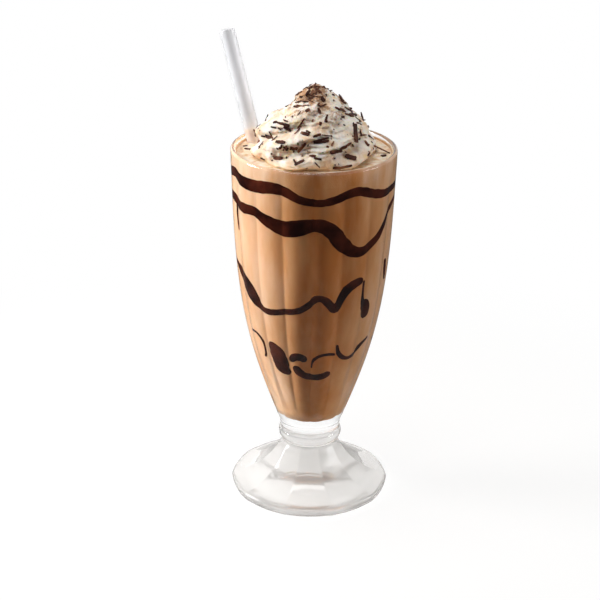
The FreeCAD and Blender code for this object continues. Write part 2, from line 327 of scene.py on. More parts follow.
def sum_of(tree, operation, *terms):
    """The result of a sum such as ADD. Each term is a number or the output of a node."""
    node = tree.nodes.new("ShaderNodeMath")
    node.operation = operation
    for socket, term in zip(node.inputs, terms):
        plug(socket, term)
    return node.outputs["Value"]


def bumps(tree, source, height, strength=1.0):
    """The normal of bumps with a real height in metres."""
    node = tree.nodes.new("ShaderNodeBump")
    feed(node, Height=source, Distance=height, Strength=strength)
    return node.outputs["Normal"]


def mixed_shaders(tree, share, first, second):
    """Shows the first shader where the share is 0 and the second where it is 1."""
    mix = tree.nodes.new("ShaderNodeMixShader")
    for socket, source in zip(mix.inputs, (share, first.outputs[0], second.outputs[0])):
        plug(socket, source)
    feed(tree.nodes["Material Output"], Surface=mix.outputs[0])


def glass_surface_group():
    """A node group for the faint ripple of the glass's making and the haze that washing leaves."""
    group, given, result = new_group(
        "glass_surface", ("Ripple Height", "Ripple Scale", "Haze"),
        {"Roughness": "NodeSocketFloat", "Normal": "NodeSocketVector"},
    )
    least_haze = sum_of(group, "DIVIDE", given["Haze"], 3.0)
    smears = levels(group, mottle(group, 50.0), 0.35, 0.75, least_haze, given["Haze"])
    ripples = mottle(group, given["Ripple Scale"], detail=2.0)
    feed(result, Roughness=smears, Normal=bumps(group, ripples, given["Ripple Height"]))
    return group


glass_surface = glass_surface_group()


def clear_glass(name, tint, shade, clarity, ripple, ripple_scale, haze):
    """Clear glass. The shade is what a lamp's light keeps as it passes through."""
    material, tree, surface = new_material(name)
    worn = placed(tree, glass_surface, Ripple_Height=ripple * MM, Ripple_Scale=ripple_scale, Haze=haze)
    feed(
        surface, Base_Color=tint, IOR=1.5, Transmission_Weight=clarity, Specular_IOR_Level=0.2,
        Roughness=worn["Roughness"], Normal=worn["Normal"],
    )
    rays = tree.nodes.new("ShaderNodeLightPath").outputs
    passing = tree.nodes.new("ShaderNodeBsdfTransparent")
    feed(passing, Color=shade)
    mixed_shaders(tree, rays["Is Shadow Ray"], surface, passing)
    return material


pressed_glass = clear_glass(
    "pressed_glass", tint=(1, 1, 1, 1), shade=(0.95, 0.96, 0.96, 1),
    clarity=1.0, ripple=0.04, ripple_scale=90.0, haze=0.03,
)
# The foot's hollow is rougher from the mould and scuffed from use, so it is a little cloudy.
foot_glass = clear_glass(
    "foot_glass", tint=(0.90, 0.885, 0.865, 1), shade=(0.88, 0.89, 0.90, 1),
    clarity=0.71, ripple=0.08, ripple_scale=120.0, haze=0.10,
)
vertices, faces = skin(glass_rings, Vector((0, 0, RECESS_HEIGHT)), Vector((0, 0, FLOOR_HEIGHT)))
soda_glass = piece("soda_glass", vertices, faces, pressed_glass, "glass", "glass")
soda_glass.data.materials.append(foot_glass)
for face in soda_glass.data.polygons:
    if face.center.z < FOOT_HEIGHT * MM:
        face.material_index = 1

# ---------------------------------------------------------------- the milkshake
# Coffee, milk and ice cream, blended smooth and opaque. It fills the bowl up to the froth, and a
# little of it stands in the straw. The skin reaches just into the wall, so that no air shows.
INTO_WALL = 0.15
INTO_FROTH = 0.05
froth_low, froth_high = box_mm("froth")
SHAKE_LEVEL = froth_low.z
FROTH_LEVEL = box_mm("whipped_cream")[0].z
shake_rings = [ring(FLOOR_RADIUS * share, FLOOR_HEIGHT - INTO_WALL) for share in (0.4, 0.8)]
for share in even_steps(0, 1, 12):
    height = FLOOR_HEIGHT + FLOOR_ROUNDING * share ** 2
    shake_rings.append(ring(inside_at(0, height) + INTO_WALL, height - INTO_WALL * (1 - share)))
for height in even_steps(INSIDE_HEIGHT, SHAKE_LEVEL, 100):
    shake_rings.append(inside_ring(height, INTO_WALL))
for share in (0.98, 0.8, 0.5, 0.2):
    shake_rings.append(ring(lambda a: share * inside_at(a, SHAKE_LEVEL), SHAKE_LEVEL + INTO_FROTH))
vertices, faces = skin(
    shake_rings, Vector((0, 0, FLOOR_HEIGHT - INTO_WALL)), Vector((0, 0, SHAKE_LEVEL + INTO_FROTH))
)


def colour_ramp(tree, source, *stops):
    """Colours along a value: each stop is its place and its colour."""
    ramp = tree.nodes.new("ShaderNodeValToRGB")
    while len(ramp.color_ramp.elements) < len(stops):
        ramp.color_ramp.elements.new(0.5)
    for element, (place, colour) in zip(ramp.color_ramp.elements, stops):
        element.position = place
        element.color = (*colour, 1)
    feed(ramp, Fac=source)
    return ramp.outputs["Color"]


def upright_part(tree, kind="Object"):
    """The height of each place in metres, or with "Normal" how much its surface faces up."""
    split = tree.nodes.new("ShaderNodeSeparateXYZ")
    feed(split, Vector=coordinate(tree, kind))
    return split.outputs["Z"]


# Tones of the shake. The darkest also paints the shade just right of the front, and the palest also
# paints the lit left.
SHAKE_DARK_AND_SHADED = (0.56, 0.205, 0.055)
SHAKE_LIGHT = (0.72, 0.375, 0.17)
SHAKE_MILKY_AND_LIT = (0.86, 0.60, 0.41)
# Painted light and shade round the glass, partly also uneven milkiness: the share of a turn from the
# # left, and the tone, 0 to 1 from dark to pale. Palest on the lit left, darkest in the painted shade
# just right of the front.
SHADE_AND_MILK_ROUND = (
    (0.0, 0.72), (0.08, 0.84), (0.14, 0.70), (0.20, 0.42), (0.24, 0.14), (0.29, 0.04), (0.34, 0.22),
    (0.38, 0.44), (0.44, 0.66), (0.50, 0.72), (0.60, 0.35), (0.70, 0.62), (0.80, 0.30), (0.90, 0.50),
    (1.0, 0.72),
)
MILKIER_FROM = SHAKE_LEVEL - 14
MILKIER_TO = FROTH_LEVEL + 2


def shake_colour_and_shade_group():
    """A node group for the colour of the shake, with painted light and shade round the glass: pale
    on the lit left and darkest just right of the front. Coffee and milk run in upright streaks, and it
    is milkier towards the top."""
    group, given, result = new_group(
        "shake_colour_and_shade", ("Streaks", "Extra Milk"), {"Color": "NodeSocketColor"}
    )
    around = group.nodes.new("ShaderNodeTexGradient")
    around.gradient_type = "RADIAL"
    feed(around, Vector=coordinate(group))
    greys = [(turn, (milk_and_shade, milk_and_shade, milk_and_shade)) for turn, milk_and_shade in SHADE_AND_MILK_ROUND]
    milk_and_shade = colour_ramp(group, around.outputs["Fac"], *greys)
    upright = group.nodes.new("ShaderNodeMapping")
    feed(upright, Vector=coordinate(group), Scale=(1.0, 1.0, 0.22))
    streaks = mottle(group, 110.0, detail=4.0, roughness=0.55, place=upright.outputs["Vector"])
    streaks = sum_of(group, "SUBTRACT", streaks, 0.5)
    milk_and_shade = sum_of(group, "MULTIPLY_ADD", streaks, given["Streaks"], milk_and_shade)
    near_top = levels(group, upright_part(group), MILKIER_FROM * MM, MILKIER_TO * MM)
    milk_and_shade = sum_of(group, "MULTIPLY_ADD", near_top, given["Extra Milk"], milk_and_shade)
    tones = colour_ramp(group, milk_and_shade, (0.05, SHAKE_DARK_AND_SHADED), (0.50, SHAKE_LIGHT), (0.95, SHAKE_MILKY_AND_LIT))
    feed(result, Color=tones)
    return group


shake_colour_and_shade = shake_colour_and_shade_group()
CREASE_ANGLE = math.radians(50)
IN_SHAKE = (1.0, 0.4, 0.15)
# The shake's colour carries the painted light and shade round the glass.
shake_finish, tree, surface = new_material("blended_shake")
feed(
    surface, Base_Color=placed(tree, shake_colour_and_shade, Streaks=0.9, Extra_Milk=0.2)["Color"],
    Roughness=0.5, Specular_IOR_Level=0.0,
    Subsurface_Weight=0.12, Subsurface_Radius=IN_SHAKE, Subsurface_Scale=2.0 * MM,
)
shake_fill = piece("shake_fill", vertices, faces, shake_finish, "milkshake", "milkshake")
shake_fill.data.set_sharp_from_angle(angle=CREASE_ANGLE)

# ---------------------------------------------------------------- the froth
# Fine pale bubbles that rose from the shake as it was poured. It floats on the shake, climbs a
# little at the glass, and has left a thin film on the wall up to the lip.
SHORE_WIDTH = 3.2
SHORE_RISE = froth_high.z - FROTH_LEVEL - 0.25
FILM_TOP = LIP_HEIGHT + 0.35
FILM_LOW = FROTH_LEVEL + 1.0
FROTH_REACH = 24.0


def froth_height(angle, radius):
    """Height of the froth's top: level, uneven by tenths, and rising towards the glass."""
    place = polar(angle, radius, 0)
    shore = max(0.0, radius - (inside_at(angle, FROTH_LEVEL) - SHORE_WIDTH)) / SHORE_WIDTH
    uneven = 0.22 * noise.noise(place * 0.13) + 0.09 * noise.noise(place * 0.6 + Vector((0, 0, 3)))
    return FROTH_LEVEL + uneven * (1 - 0.7 * shore) + SHORE_RISE * shore ** 2


def film_height(angle):
    """Top of the film of froth left on the wall: near the lip at the front, lower at the back."""
    front = 0.5 + 0.5 * math.cos(angle - FRONT)
    edge = 0.35 * noise.noise(polar(angle, 2.2, 9.0))
    fine = 0.15 * noise.noise(polar(angle, 14, 3.0))
    return FILM_LOW + (FILM_TOP - FILM_LOW) * min(1.0, 1.5 * front) + edge * (1 - front) + fine


def film_ring(share, off_wall):
    """A ring of the film, at a share of its height above the froth and a distance off the wall."""
    points = []
    for angle in once_round(GLASS_STEPS):
        height = FROTH_LEVEL + (film_height(angle) - FROTH_LEVEL) * share
        wall = inside_at(angle, height) if height < LIP_HEIGHT else wall_radius(LIP_HEIGHT)
        points.append(polar(angle, wall - off_wall, height))
    return points


def froth_ring(inwards):
    """A ring of the froth's top, at a distance inwards from the wall."""
    points = []
    for angle in once_round(GLASS_STEPS):
        wall = inside_at(angle, FROTH_LEVEL)
        points.append(polar(angle, wall + INTO_WALL - inwards, froth_height(angle, wall - inwards)))
    return points


froth_rings = [ring(20.0, SHAKE_LEVEL)]
for height in [SHAKE_LEVEL] + even_steps(SHAKE_LEVEL, FROTH_LEVEL, 8):
    froth_rings.append(inside_ring(height, INTO_WALL))
# Up the wall inside the glass, over the film's edge, and down its open side.
for share in (0.25, 0.5, 0.75, 0.95):
    froth_rings.append(film_ring(share, -INTO_WALL))
for share, off_wall in ((1.0, 0.1), (0.92, 0.4), (0.7, 0.55), (0.5, 0.75)):
    froth_rings.append(film_ring(share, off_wall))
for share in even_steps(0, 1, 39)[1:]:
    froth_rings.append(froth_ring(FROTH_REACH * share ** 1.15))
froth_rings.append(ring(8.0, FROTH_LEVEL))
vertices, faces = skin(froth_rings, Vector((0, 0, SHAKE_LEVEL)), Vector((0, 0, FROTH_LEVEL)))


def colour_mix(tree, factor, first, second):
    """The first colour where the factor is 0 and the second where it is 1."""
    mix = tree.nodes.new("ShaderNodeMix")
    mix.data_type = "RGBA"
    plug(mix.inputs[0], factor)
    for socket, colour in zip(mix.inputs[6:8], (first, second)):
        plug(socket, (*colour, 1) if isinstance(colour, tuple) else colour)
    return mix.outputs[2]


froth_finish, tree, surface = new_material("fine_froth")
froth_tones = colour_ramp(
    tree, mottle(tree, 250.0, detail=5.0, roughness=0.65),
    (0.34, (0.76, 0.50, 0.28)), (0.46, (0.90, 0.71, 0.51)), (0.62, (0.95, 0.85, 0.71)),
)
# The sides and the film on the wall are the colour of the shake, with its painted light and shade
# round the glass, and only the open top is pale.
open_top = levels(tree, upright_part(tree, "Normal"), 0.55, 0.85)
side_tones = placed(tree, shake_colour_and_shade, Streaks=1.3, Extra_Milk=0.2)["Color"]
bubbles = tree.nodes.new("ShaderNodeTexVoronoi")
feed(bubbles, Vector=coordinate(tree), Scale=1500.0, Randomness=1.0)
feed(
    surface, Base_Color=colour_mix(tree, open_top, side_tones, froth_tones),
    Normal=bumps(tree, bubbles.outputs["Distance"], 0.16 * MM, 0.7),
    Roughness=0.55, Specular_IOR_Level=0.0,
    Subsurface_Weight=0.12, Subsurface_Radius=IN_SHAKE, Subsurface_Scale=2.0 * MM,
)
froth_layer = piece("froth_layer", vertices, faces, froth_finish, "froth", "froth")
froth_layer.data.set_sharp_from_angle(angle=CREASE_ANGLE)

# ---------------------------------------------------------------- the syrup
# Chocolate syrup, squeezed in loose lines round the inside of the empty glass. It clings to the
# wall in front of the shake, and each line swells, thins and drips as it was poured.
SYRUP_OUT = 0.34
SYRUP_OFF_WALL = 0.05
SYRUP_STEP = 0.7
SYRUP_THIN = 1.2
# Each line: places as (degrees to the right of the front, height, width).
SYRUP_LINES = (
    ((-84, 184, 5), (-72, 186, 5.5), (-62, 184, 6.5), (-46, 184, 7), (-30, 185.5, 6.5),
     (-20, 184.5, 5.5), (-9, 181, 4.5), (4, 179.5, 4), (16, 181, 4.5), (32, 184, 5), (48, 180.5, 5),
     (61, 178.5, 4.5), (80, 179, 4), (104, 183, 5), (128, 181, 4), (152, 186, 5), (176, 183, 4.5),
     (200, 179, 4), (224, 183, 5), (248, 181, 4.5), (268, 183.6, 4.4), (283, 185.2, 5.2)),
    ((-92, 170, 3), (-78, 172, 5), (-64, 169.5, 6), (-48, 170, 5.5), (-36, 167.5, 6.5),
     (-22, 164.5, 8.5), (-12, 165.5, 9), (-3, 167, 7.5), (7, 167, 7.5), (15, 163, 8), (22, 156.5, 8),
     (31, 151.5, 6.5), (41, 150.5, 5.5), (53, 154.5, 4.5), (61, 160, 4), (72, 168, 3.2), (86, 172, 3),
     (108, 166, 4.5), (130, 158, 6), (152, 162, 5), (176, 170, 4), (202, 165, 5), (228, 157, 6),
     (250, 163, 4), (263, 169, 3), (274, 171, 3.6)),
    ((-71, 172, 2.2), (-72, 163, 2), (-71, 154, 1.6)),
    ((-88, 137, 2.6), (-79, 134, 3.4), (-70, 129.5, 7.4), (-61, 125, 9.6), (-54, 119.8, 8),
     (-46, 115.8, 4.2), (-38, 115, 3.8), (-26, 116.5, 3.6), (-12, 118.5, 3.6), (-3, 122, 3.8),
     (4, 126, 4), (10, 125.5, 4), (15, 122, 4.5), (19, 119.5, 5), (22, 121.5, 5), (25, 126, 5.2),
     (30, 130.5, 5.4), (37, 133, 5.2), (43.5, 133, 4)),
    ((44.5, 133, 2), (44.6, 127, 1.6), (46, 121, 3.2), (49, 118.5, 6.4), (51, 114.5, 6.6),
     (50.5, 109.5, 5.2)),
    ((74, 139, 2.2), (76, 132, 2.6), (78, 126, 1.8)),
    ((92, 132, 4), (108, 127, 5), (124, 120, 4), (140, 118, 4.5), (156, 124, 5), (170, 131, 4),
     (186, 127, 5), (202, 119, 4), (218, 117, 4), (236, 124, 5), (254, 133, 4), (266, 136.6, 3),
     (274, 136.6, 2.8)),
    ((-70, 98, 1.6), (-60, 98, 1.8), (-54, 94, 1.8), (-54, 88, 1.6), (-57, 84, 1.4)),
    ((-43, 96, 4.5), (-38, 92, 8), (-35, 87, 9), (-32, 82, 9.5), (-27, 79.5, 7), (-21, 79.5, 2.6)),
    ((-21, 86, 2), (-16, 89.5, 5), (-10, 89.5, 5), (-6, 87, 2.6)),
    ((-17, 84, 3.4), (-13, 80, 4.4), (-6, 77.5, 4.2), (4, 76.6, 4), (15, 77.6, 4.2), (21, 79.8, 3.4)),
    ((1, 82.5, 1.5), (2.5, 87, 1.5), (8, 90.5, 1.8), (16, 91.6, 1.8), (26, 90.4, 1.5)),
    ((26, 97, 1.8), (28.5, 92, 2.2), (35, 88, 2.4), (43, 87, 2.2), (50, 89, 2.6), (57, 93, 2.6),
     (66, 96, 1.8)),
    ((84, 92, 2), (96, 86, 3), (108, 80, 3.5), (124, 82, 3), (136, 89, 3), (150, 92, 4),
     (164, 85, 3.5), (180, 79, 3), (196, 83, 3.5), (212, 91, 3), (228, 88, 4), (244, 80, 3),
     (258, 84, 2)),
)
# The section of a line as (share of its half width, share of its reach into the wall): flat in
# front, rounded at both sides, and sunk in the shake behind.
SYRUP_SECTION = (
    (-1.0, 0.0), (-0.93, 0.75), (-0.6, 1.0), (0.0, 1.0), (0.6, 1.0), (0.93, 0.75), (1.0, 0.0),
    (0.5, -3.0), (-0.5, -3.0),
)


def flattened(angle, height):
    """The wall rolled out flat: a place along it in millimetres, and its height."""
    return math.radians(angle) * wall_radius(height), height


def smooth_route(places):
    """A Catmull-Rom curve through the places of a syrup line, in fine even steps."""
    before_first = tuple(2 * a - b for a, b in zip(places[0], places[1]))
    after_last = tuple(2 * a - b for a, b in zip(places[-1], places[-2]))
    knots = [before_first, *places, after_last]
    route = []
    for before, start, stop, after in zip(knots, knots[1:], knots[2:], knots[3:]):
        run = math.radians(stop[0] - start[0]) * wall_radius(start[1])
        count = max(2, round(math.hypot(run, stop[1] - start[1]) / SYRUP_STEP))
        for step in range(count):
            t = step / count
            weights = (
                2 * t**2 - t - t**3, 2 - 5 * t**2 + 3 * t**3, t + 4 * t**2 - 3 * t**3, t**3 - t**2,
            )
            route.append(tuple(
                0.5 * sum(weight * value for weight, value in zip(weights, values))
                for values in zip(before, start, stop, after)
            ))
    route.append(places[-1])
    return route


def syrup_line(places, seed):
    """Rings of one line of syrup, which lies in the face of the wall and is rounded at its ends."""
    route = smooth_route(places)
    flat = [Vector(flattened(angle, height)) for angle, height, width in route]
    travelled = [0.0]
    for start, stop in zip(flat, flat[1:]):
        travelled.append(travelled[-1] + (stop - start).length)
    rings = []
    for index, (angle, height, width) in enumerate(route):
        run = flat[min(len(flat) - 1, index + 1)] - flat[max(0, index - 1)]
        run = run.normalized() if run.length > 1e-6 else Vector((1, 0))
        to_end = min(travelled[index], travelled[-1] - travelled[index])
        half = width / 2
        if to_end < half:
            half *= math.sqrt(max(0.02, 1 - (1 - to_end / half) ** 2))
        half *= 1 + 0.1 * noise.noise(Vector((travelled[index] * 0.35, seed * 7.3, 0)))
        reach = SYRUP_OUT * min(1.0, half / SYRUP_THIN)
        points = []
        for side, out in SYRUP_SECTION:
            z = height + run.x * side * half
            a = facing(angle) - run.y * side * half / wall_radius(z)
            points.append(polar(a, inside_at(a, z) + SYRUP_OFF_WALL + reach * out, z))
        rings.append(points)
    return rings


def middle_of(points):
    return sum(points, Vector()) / len(points)


vertices, faces = [], []
for number, places in enumerate(SYRUP_LINES):
    rings = syrup_line(places, number)
    line_vertices, line_faces = skin(rings, middle_of(rings[0]), middle_of(rings[-1]))
    faces += [tuple(index + len(vertices) for index in face) for face in line_faces]
    vertices += line_vertices

syrup_finish, tree, surface = new_material("chocolate_syrup")
syrup_tones = colour_ramp(
    tree, mottle(tree, 80.0), (0.36, (0.015, 0.0020, 0.0011)), (0.66, (0.080, 0.016, 0.007))
)
feed(surface, Base_Color=syrup_tones, Roughness=0.4, Specular_IOR_Level=0.0)
piece("syrup_lines", vertices, faces, syrup_finish, "syrup")

# ---------------------------------------------------------------- the straw
# A reusable straw of clear drawn glass, with fire-polished ends. It stands in the cup of the bowl
# and leans on the lip at the back, and some shake stands in its bore.
STRAW_RADIUS = 4.0
STRAW_BORE = 3.1
STRAW_STEPS = 64
TUBE_RINGS = 59
END_RINGS = 8
straw_low, straw_high = box_mm("straw")
# The ends of a slanting tube follow from its box and its slant, so the two are found by turns.
straw_span = straw_high - straw_low
straw_axis = Vector((-straw_span.x, straw_span.y, straw_span.z)).normalized()
for _ in range(8):
    reach = Vector([STRAW_RADIUS * math.sqrt(1 - part ** 2) for part in straw_axis])
    straw_foot = Vector((straw_high.x - reach.x, straw_low.y + reach.y, straw_low.z + reach.z))
    straw_top = Vector((straw_low.x + reach.x, straw_high.y - reach.y, straw_high.z - reach.z))
    straw_axis = (straw_top - straw_foot).normalized()
STRAW_LENGTH = (straw_top - straw_foot).length
straw_turn = Vector((0, 0, 1)).rotation_difference(straw_axis).to_matrix()


def straw_ring(radius, along):
    """A ring round the straw, at a distance along it from its lower end."""
    return [straw_foot + straw_turn @ point for point in ring(radius, along, STRAW_STEPS)]


# Up the outside and over the upper end, and then the same down the bore and round the lower end.
end_radius = (STRAW_RADIUS - STRAW_BORE) / 2
wall_middle = (STRAW_RADIUS + STRAW_BORE) / 2
straight = even_steps(end_radius, STRAW_LENGTH - end_radius, TUBE_RINGS)
tube_section = [(STRAW_RADIUS, along) for along in (end_radius, *straight)]
for turn in even_steps(0, math.pi, END_RINGS)[:-1]:
    over = STRAW_LENGTH - end_radius * (1 - math.sin(turn))
    tube_section.append((wall_middle + end_radius * math.cos(turn), over))
tube_section += [(2 * wall_middle - radius, STRAW_LENGTH - along) for radius, along in tube_section]
tube_rings = [straw_ring(radius, along) for radius, along in tube_section]
tube_rings.append(tube_rings[0])
vertices, faces = skin(tube_rings)
drawn_glass = clear_glass(
    "drawn_glass", tint=(0.86, 0.86, 0.87, 1), shade=(0.93, 0.94, 0.95, 1),
    clarity=0.45, ripple=0.02, ripple_scale=60.0, haze=0.2,
)
piece("glass_straw", vertices, faces, drawn_glass, "straw_glass", "straw")

# The shake that stands in the straw, drawn up over the froth. Its top is hollow where it clings
# to the bore, and its lower end is out of sight in the drink.
COLUMN_LEVEL = box_mm("milkshake")[1].z - 0.6
COLUMN_HOLLOW = 0.9
COLUMN_BELOW = 6
column_top = (COLUMN_LEVEL - straw_foot.z) / straw_axis.z
column_low = (SHAKE_LEVEL - COLUMN_BELOW - straw_foot.z) / straw_axis.z
column_radius = STRAW_BORE + 0.05
column_steps = [column_low] + even_steps(column_low, column_top, 12)
column_rings = [straw_ring(column_radius, along) for along in column_steps]
for share in (0.9, 0.7, 0.4):
    along = column_top - COLUMN_HOLLOW * (1 - share ** 2)
    column_rings.append(straw_ring(column_radius * share, along))
vertices, faces = skin(
    column_rings,
    straw_foot + straw_axis * column_low,
    straw_foot + straw_axis * (column_top - COLUMN_HOLLOW),
)
piece("shake_in_straw", vertices, faces, froth_finish, "milkshake")

# ---------------------------------------------------------------- the whipped cream
# Piped with a star nozzle in a rising swirl, soft enough to slump: the nozzle's ridges wind up the
# mound, and each turn of the coil settles into a fold. Cocoa is dusted on its top.
CREAM_MARGIN = 7.2
CREAM_RADIUS = wall_radius(FROTH_LEVEL) - CREAM_MARGIN
CREAM_HEIGHT = 37.0
CREAM_FULLNESS = 1.65
CREAM_LEAN = 0.5
CREAM_TIP = 1.4
CREAM_TURNS = 3.4
CREAM_GROOVE = 2.6
CREAM_RIDGES = 6
CREAM_RIDGE_DEPTH = 1.7
CREAM_TWIST = math.radians(190)
# Waviness of the cream, coarse to fine: how far it stands out, and waves to a millimetre.
CREAM_RUFFLES = ((0.8, 0.15), (0.55, 0.33), (0.22, 0.9))
CREAM_CURL = 0.9
CREAM_STEPS = 300
CREAM_LAYERS = 160
CREAM_TOP = 0.985
CREAM_SUNK = 0.6
# Where the cream slumped: degrees to the right of the front, height above the froth, spread in
# degrees, spread in height, and how far the cream stands out there.
CREAM_LOBES = (
    (-88, 16.5, 32, 2.2, 3.4),
    (-88, 23.0, 30, 2.4, -3.4),
    (88, 30.0, 32, 3.2, 1.6),
)
# Creases where one fold lies over the next: depth, half width, and then the places that a crease
# runs through as (degrees to the right of the front, height).
CREAM_CREASES = (
    (1.5, 1.3, (-42, 8.0), (-22, 10.0), (-10, 13.0), (6, 14.2), (26, 15.0), (44, 17.5)),
    (1.1, 1.1, (-30, 4.4), (-8, 6.6), (14, 6.4), (36, 8.2), (54, 11.0)),
    (1.0, 1.0, (-70, 10.5), (-56, 13.4), (-40, 15.6), (-22, 16.4)),
    (0.9, 0.9, (-34, 21.8), (-14, 22.6), (6, 24.6), (24, 27.4)),
    (1.2, 1.2, (60, 4.0), (84, 7.5), (110, 9.5), (134, 13.0)),
    (1.2, 1.2, (128, 5.0), (160, 8.2), (192, 9.4), (218, 12.6)),
    (1.1, 1.1, (150, 15.0), (184, 17.6), (214, 18.4), (246, 22.0)),
    (1.1, 1.2, (214, 4.4), (240, 7.0), (262, 8.2)),
)
CREASE_FADE = 12
CREASE_REACH = 5


def crease_depth(turned, height, mound):
    """Depth of the creases near a place on the cream, in millimetres. Each fades out at its ends."""
    depth = 0.0
    for deep, width, *places in CREAM_CREASES:
        first, last = places[0][0], places[-1][0]
        middle = (first + last) / 2
        offset = math.remainder(turned - middle, 360)
        near = places[0][1] - CREASE_REACH < height < places[-1][1] + CREASE_REACH
        if abs(offset) > (last - first) / 2 + CREASE_FADE or not near:
            continue
        nearest = math.inf
        for (a0, h0), (a1, h1) in zip(places, places[1:]):
            run, rise = math.radians(a1 - a0) * mound, h1 - h0
            x, y = math.radians(middle + offset - a0) * mound, height - h0
            share = min(1.0, max(0.0, (x * run + y * rise) / (run ** 2 + rise ** 2)))
            nearest = min(nearest, math.hypot(x - run * share, (y - rise * share) * 0.9))
        to_end = min(middle + offset - first, last - middle - offset) / CREASE_FADE
        fade = min(1.0, max(0.0, 0.5 + 0.5 * to_end))
        depth += deep * fade * math.exp(-0.5 * (nearest / width) ** 2)
    return depth


def slump_at(turned, height):
    """How far the cream stands out where it slumped, in millimetres."""
    slump = 0.0
    for direction, middle, spread, rise, amount in CREAM_LOBES:
        aside = math.remainder(turned - direction, 360) / spread
        slump += amount * math.exp(-0.5 * (aside ** 2 + ((height - middle) / rise) ** 2))
    return slump


def cream_radius(angle, share):
    """Radius of the cream at an angle and a share of its height."""
    body = 1 - share ** CREAM_FULLNESS
    tuck = 1 - 0.07 * math.exp(-14 * share)
    mound = CREAM_TIP + (CREAM_RADIUS - CREAM_TIP) * body * tuck
    scale = mound / CREAM_RADIUS
    calm_tip = min(1.0, 2 * scale)
    ridge = CREAM_RIDGE_DEPTH * math.cos(CREAM_RIDGES * (angle - CREAM_TWIST * share)) * scale
    turn = CREAM_TURNS * share - angle / (2 * math.pi)
    groove = CREAM_GROOVE * (1 - abs(math.sin(math.pi * turn))) * math.sqrt(scale)
    turned = math.remainder(math.degrees(angle - FRONT), 360)
    height = share * CREAM_HEIGHT
    place = polar(angle, mound, height)
    waver = noise.noise(place * 0.09 + Vector((3, 1, 7)))
    strands = math.cos(2 * math.pi * (4 * turn + 1.4 * waver)) * (0.22 + 0.4 * waver) * calm_tip
    ruffle = sum(out * noise.noise(place * waves) for out, waves in CREAM_RUFFLES)
    curls = CREAM_CURL * abs(noise.noise(place * 0.24 + Vector((5, 2, 0)))) * calm_tip
    folds = ruffle - curls - crease_depth(turned, height, mound)
    return mound + ridge - groove + slump_at(turned, height) + strands + folds - 0.2


def beside_straw(point):
    """Moves a point of the cream out of the straw, towards the cream's own side."""
    clear = STRAW_RADIUS + 0.1
    nearest = straw_foot + straw_axis * (point - straw_foot).dot(straw_axis)
    away = point - nearest
    if away.length < clear and point.z < FROTH_LEVEL + 30:
        inwards = Vector((-nearest.x, -nearest.y, 0)).normalized()
        return nearest + (away * 0.5 + inwards).normalized() * clear
    return point


cream_rings = []
for layer in range(CREAM_LAYERS + 1):
    share = math.sin(math.pi / 2 * layer / CREAM_LAYERS) * CREAM_TOP
    level = FROTH_LEVEL + share * CREAM_HEIGHT - (CREAM_SUNK if layer == 0 else 0)
    lean = Vector((CREAM_LEAN * share, 0, 0))
    cream_rings.append([
        beside_straw(polar(angle, cream_radius(angle, share), level) + lean)
        for angle in once_round(CREAM_STEPS)
    ])
cream_tip = Vector((CREAM_LEAN, 0, FROTH_LEVEL + CREAM_HEIGHT * CREAM_TOP + 0.2))
cream_vertices, cream_faces = skin(cream_rings, Vector((0, 0, FROTH_LEVEL - CREAM_SUNK)), cream_tip)


def height_blend(tree, low, high, unevenness):
    """0 below one height and 1 above another, with an uneven border. All in millimetres."""
    wavering = sum_of(tree, "MULTIPLY_ADD", mottle(tree, 160.0), unevenness * MM, upright_part(tree))
    middle = unevenness / 2
    return levels(tree, wavering, (low + middle) * MM, (high + middle) * MM, curve="SMOOTHSTEP")


cream_finish, tree, surface = new_material("whipped_cream")
cream_tones = colour_ramp(
    tree, mottle(tree, 110.0, detail=4.0),
    (0.36, (0.84, 0.61, 0.42)), (0.46, (0.91, 0.76, 0.61)), (0.56, (0.95, 0.86, 0.76)),
)
# Caramel soaks into a few patches, and the cream turns tan towards its foot.
caramel = levels(tree, mottle(tree, 190.0, detail=2.0), 0.61, 0.70, 0.0, 0.7)
tinted_cream = colour_mix(tree, caramel, cream_tones, (0.88, 0.66, 0.32))
above_foot = height_blend(tree, FROTH_LEVEL - 0.4, FROTH_LEVEL + 4.0, 3.5)
clean_cream = colour_mix(tree, above_foot, (0.84, 0.61, 0.38), tinted_cream)
# Cocoa lies in patches of fine grains, on the upper half alone.
dusted_height = height_blend(tree, FROTH_LEVEL + 14, FROTH_LEVEL + 32, 8.0)
patches = levels(tree, mottle(tree, 140.0, detail=1.0), 0.40, 0.58, 0.0, 0.32)
where_dusted = sum_of(tree, "MULTIPLY", patches, dusted_height)
dust = sum_of(tree, "ADD", where_dusted, mottle(tree, 800.0, detail=6.0, roughness=0.75))
dust = levels(tree, dust, 0.60, 0.82, 0.0, 0.9)
pores = mottle(tree, 800.0, detail=6.0, roughness=0.7)
feed(
    surface, Base_Color=colour_mix(tree, dust, clean_cream, (0.36, 0.155, 0.05)),
    Normal=bumps(tree, pores, 0.7 * MM, 0.9), Roughness=0.55, Specular_IOR_Level=0.2,
    Subsurface_Weight=0.4, Subsurface_Radius=(1.0, 0.65, 0.4), Subsurface_Scale=2.4 * MM,
)
piece("cream_swirl", cream_vertices, cream_faces, cream_finish, "cream", "whipped_cream")

# ---------------------------------------------------------------- the chocolate shavings
# Dark chocolate shaved and broken into sticks, needles and crumbs, and scattered on the cream and
# the froth. Each is a bent sliver with broken ends, and lies on what carries it.
SLIVER_SECTION = ((-1, -1), (1, -1), (1.04, 0), (1, 1), (-1, 1), (-1.04, 0))
FEELERS = (-0.9, -0.45, 0.0, 0.45, 0.9)
OUTSIDE = 60
OVERHEAD = 6
STEEPEST = 0.6
HIGHEST_GAP = 1.2
SINK = 0.12
chance = random.Random(11)
bed = BVHTree.FromPolygons(cream_vertices, cream_faces)
shaving_vertices, shaving_faces = [], []


